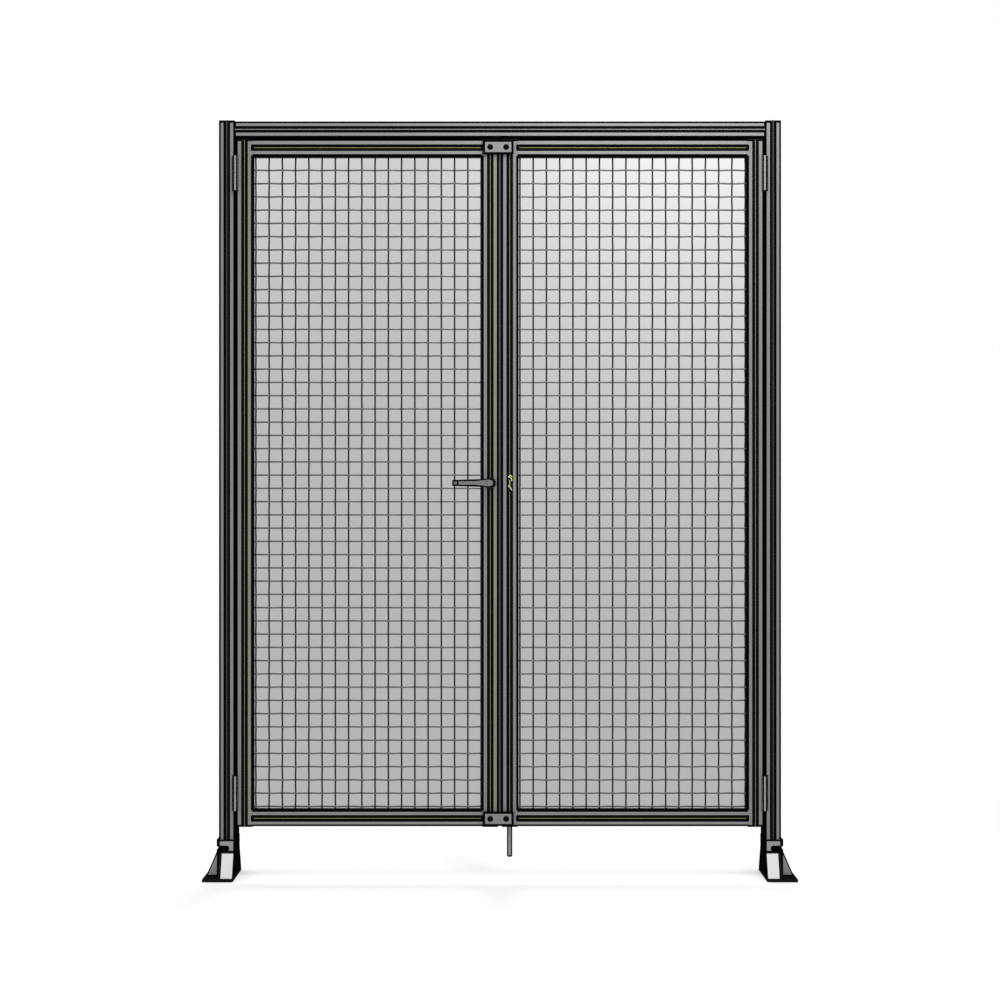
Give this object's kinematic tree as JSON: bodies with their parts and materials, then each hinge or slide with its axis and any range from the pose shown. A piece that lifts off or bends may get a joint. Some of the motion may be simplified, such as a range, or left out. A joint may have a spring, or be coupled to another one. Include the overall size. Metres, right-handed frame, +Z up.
{
  "type": "mesh double door",
  "caption": "Double door of slotted aluminium profile with crimped wire mesh, a lever lock, a drop bolt and foot plates, for a machine guard.",
  "frame": {"origin": "on the floor under the centre of the left post", "axes": "+X along the doorway to the right, +Y away from the viewer, +Z up"},
  "size_m": [1.674, 0.178, 2.146],
  "materials": {
    "anodised_profile": "satin",
    "black_plastic": "matte",
    "black_rubber": "matte",
    "slot_strip": "satin",
    "wire": "galvanised",
    "cast_metal": "cast, satin",
    "foot_cover": "satin",
    "hinge_metal": "satin",
    "screw_black": "black oxide",
    "handle_metal": "satin",
    "keeper_yellow": "satin",
    "bolt_steel": "zinc plated"
  },
  "bodies": {
    "frame": {"left_post": "anodised_profile", "right_post": "anodised_profile", "top_crossbar": "anodised_profile", "left_post_cap": "black_plastic", "right_post_cap": "black_plastic", "left_foot_plate": "cast_metal", "right_foot_plate": "cast_metal", "left_foot_bracket_front": "cast_metal", "left_foot_bracket_outer": "cast_metal", "left_foot_bracket_rear": "cast_metal", "left_foot_covers": "foot_cover", "left_hinge_post_halves": "hinge_metal", "right_foot_bracket_front": "cast_metal", "right_foot_bracket_outer": "cast_metal", "right_foot_bracket_rear": "cast_metal", "right_foot_covers": "foot_cover", "right_hinge_post_halves": "hinge_metal", "portal_slot_strips": "black_plastic"},
    "left_leaf": {"left_hinge_stile": "anodised_profile", "left_meeting_stile": "anodised_profile", "left_bottom_rail": "anodised_profile", "left_top_rail": "anodised_profile", "left_stile_caps": "black_plastic", "left_mesh_lower": "wire", "left_mesh_middle": "wire", "left_mesh_upper": "wire", "left_mesh_gasket": "black_rubber", "left_slot_strips": "slot_strip", "left_hinge_leaf_halves": "hinge_metal", "stop_plates": "cast_metal", "stop_plate_screws": "screw_black", "stop_buffers": "black_rubber", "left_meeting_seal": "black_rubber", "lock_rosette": "handle_metal", "latch_bolt": "bolt_steel"},
    "right_leaf": {"right_hinge_stile": "anodised_profile", "right_meeting_stile": "anodised_profile", "right_bottom_rail": "anodised_profile", "right_top_rail": "anodised_profile", "right_stile_caps": "black_plastic", "right_mesh_lower": "wire", "right_mesh_middle": "wire", "right_mesh_upper": "wire", "right_mesh_gasket": "black_rubber", "right_slot_strips": "slot_strip", "right_hinge_leaf_halves": "hinge_metal", "latch_keeper": "black_plastic", "keeper_claws": "keeper_yellow", "right_meeting_seal": "black_rubber", "drop_bolt_guides": "cast_metal"},
    "handle": {"lever_handle": "handle_metal"},
    "drop_bolt": {"drop_bolt": "bolt_steel"}
  },
  "joints": [
    {"name": "left_leaf_hinge", "type": "hinge", "parent": "frame", "child": "left_leaf", "pos_m": [0.025, -0.0515, 0.244], "axis": [0, 0, -1], "range_deg": [0, 170]},
    {"name": "right_leaf_hinge", "type": "hinge", "parent": "frame", "child": "right_leaf", "pos_m": [1.52, -0.0515, 0.244], "axis": [0, 0, 1], "range_deg": [0, 170]},
    {"name": "lever_turn", "type": "hinge", "parent": "left_leaf", "child": "handle", "pos_m": [0.745, -0.045, 1.12], "axis": [0, -1, 0], "range_deg": [0, 45], "stiffness_Nm_per_rad": 0.6, "springref_deg": -28.65},
    {"name": "bolt_drop", "type": "slide", "parent": "right_leaf", "child": "drop_bolt", "axis": [0, 0, -1], "range_m": [0, 0.05]}
  ]
}
